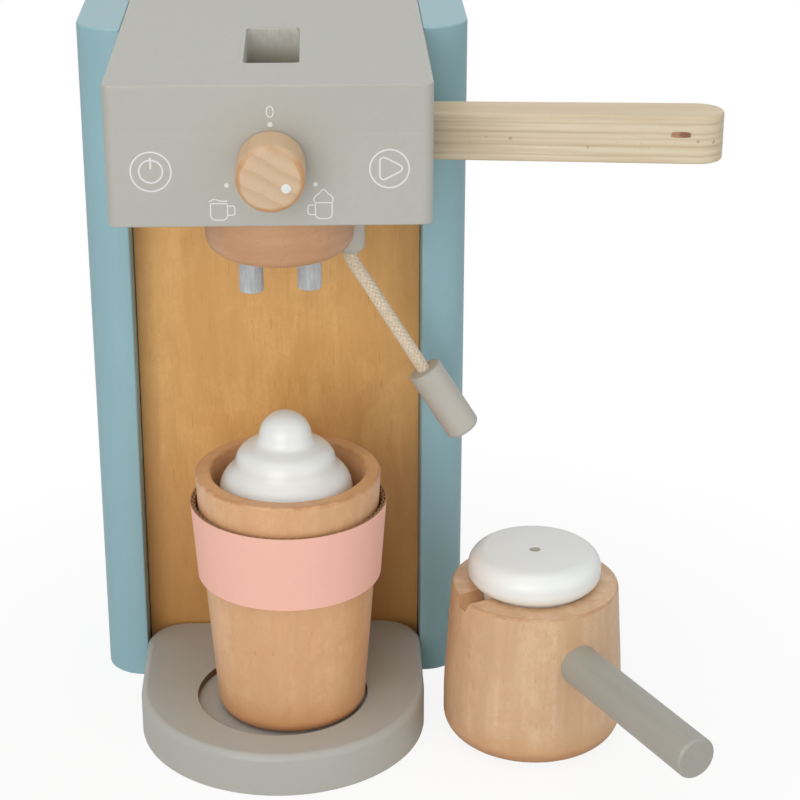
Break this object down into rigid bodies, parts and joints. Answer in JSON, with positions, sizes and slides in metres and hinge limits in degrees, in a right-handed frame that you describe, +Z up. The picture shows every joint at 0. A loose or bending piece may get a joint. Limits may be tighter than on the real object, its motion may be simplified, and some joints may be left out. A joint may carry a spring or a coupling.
{
  "type": "toy coffee maker",
  "caption": "Wooden toy coffee machine with a turning knob, a swinging lever, a rope steam wand, a lift-out cup with cream and sleeve, and a milk jug.",
  "frame": {"origin": "on the floor, midway between the posts, in the plane of their front edges", "axes": "+Z up, +X to the machine's right as seen from the front, +Y to the back"},
  "size_m": [0.2462, 0.2052, 0.2812],
  "materials": {
    "blue_paint": "satin painted",
    "grey_paint": "satin painted",
    "panel_plywood": "clear satin varnish",
    "birch_plywood": "clear satin varnish",
    "birch": "raw turned",
    "beech": "clear matt varnish",
    "silver_paint": "satin painted",
    "white_paint": "gloss painted",
    "pink_card": "matt card",
    "brown_card": "raw corrugated card",
    "cotton": "braided"
  },
  "bodies": {
    "machine": {"post_left": "blue_paint", "post_right": "blue_paint", "back_panel": "panel_plywood", "base_plate": "grey_paint", "foot_rail": "grey_paint", "head_roof": "grey_paint", "head_front": "grey_paint", "head_side_left": "grey_paint", "head_side_right": "grey_paint", "head_floor": "grey_paint", "frame_dowels": "birch", "base_dowels": "birch", "group_block": "beech", "group_dowel": "birch", "nozzle_left": "silver_paint", "nozzle_right": "silver_paint", "wand_socket": "grey_paint", "wand_rope": "cotton", "wand_tip": "grey_paint", "lever_pin": "birch"},
    "knob": {"knob": "beech", "knob_axle": "birch", "axle_keeper": "birch"},
    "lever": {"lever": "birch_plywood"},
    "cup": {"cup": "beech"},
    "sleeve": {"cup_sleeve": "pink_card", "sleeve_liner": "brown_card"},
    "cream": {"whipped_cream": "white_paint"},
    "jug": {"jug": "beech", "jug_handle": "silver_paint"},
    "foam": {"milk_foam": "white_paint"}
  },
  "joints": [
    {"name": "knob_spin", "type": "hinge", "parent": "machine", "child": "knob", "pos_m": [0.0006, -0.085, 0.2526], "axis": [0, -1, 0], "continuous": true},
    {"name": "lever_swing", "type": "hinge", "parent": "machine", "child": "lever", "pos_m": [0.04, -0.0212, 0.2376], "axis": [0, 0, -1], "range_deg": [-4, 22]},
    {"name": "cup_lift", "type": "slide", "parent": "machine", "child": "cup", "axis": [0, -0.7071, 0.7071], "range_m": [0, 0.12]},
    {"name": "cream_lift", "type": "slide", "parent": "cup", "child": "cream", "axis": [0, 0, 1], "range_m": [0, 0.035]},
    {"name": "sleeve_slide", "type": "slide", "parent": "cup", "child": "sleeve", "axis": [0, 0, -1], "range_m": [0, 0.035]},
    {"name": "jug_lift", "type": "slide", "parent": "machine", "child": "jug", "axis": [0.7071, 0, 0.7071], "range_m": [0, 0.1]},
    {"name": "foam_lift", "type": "slide", "parent": "jug", "child": "foam", "axis": [0, 0, 1], "range_m": [0, 0.03]}
  ]
}
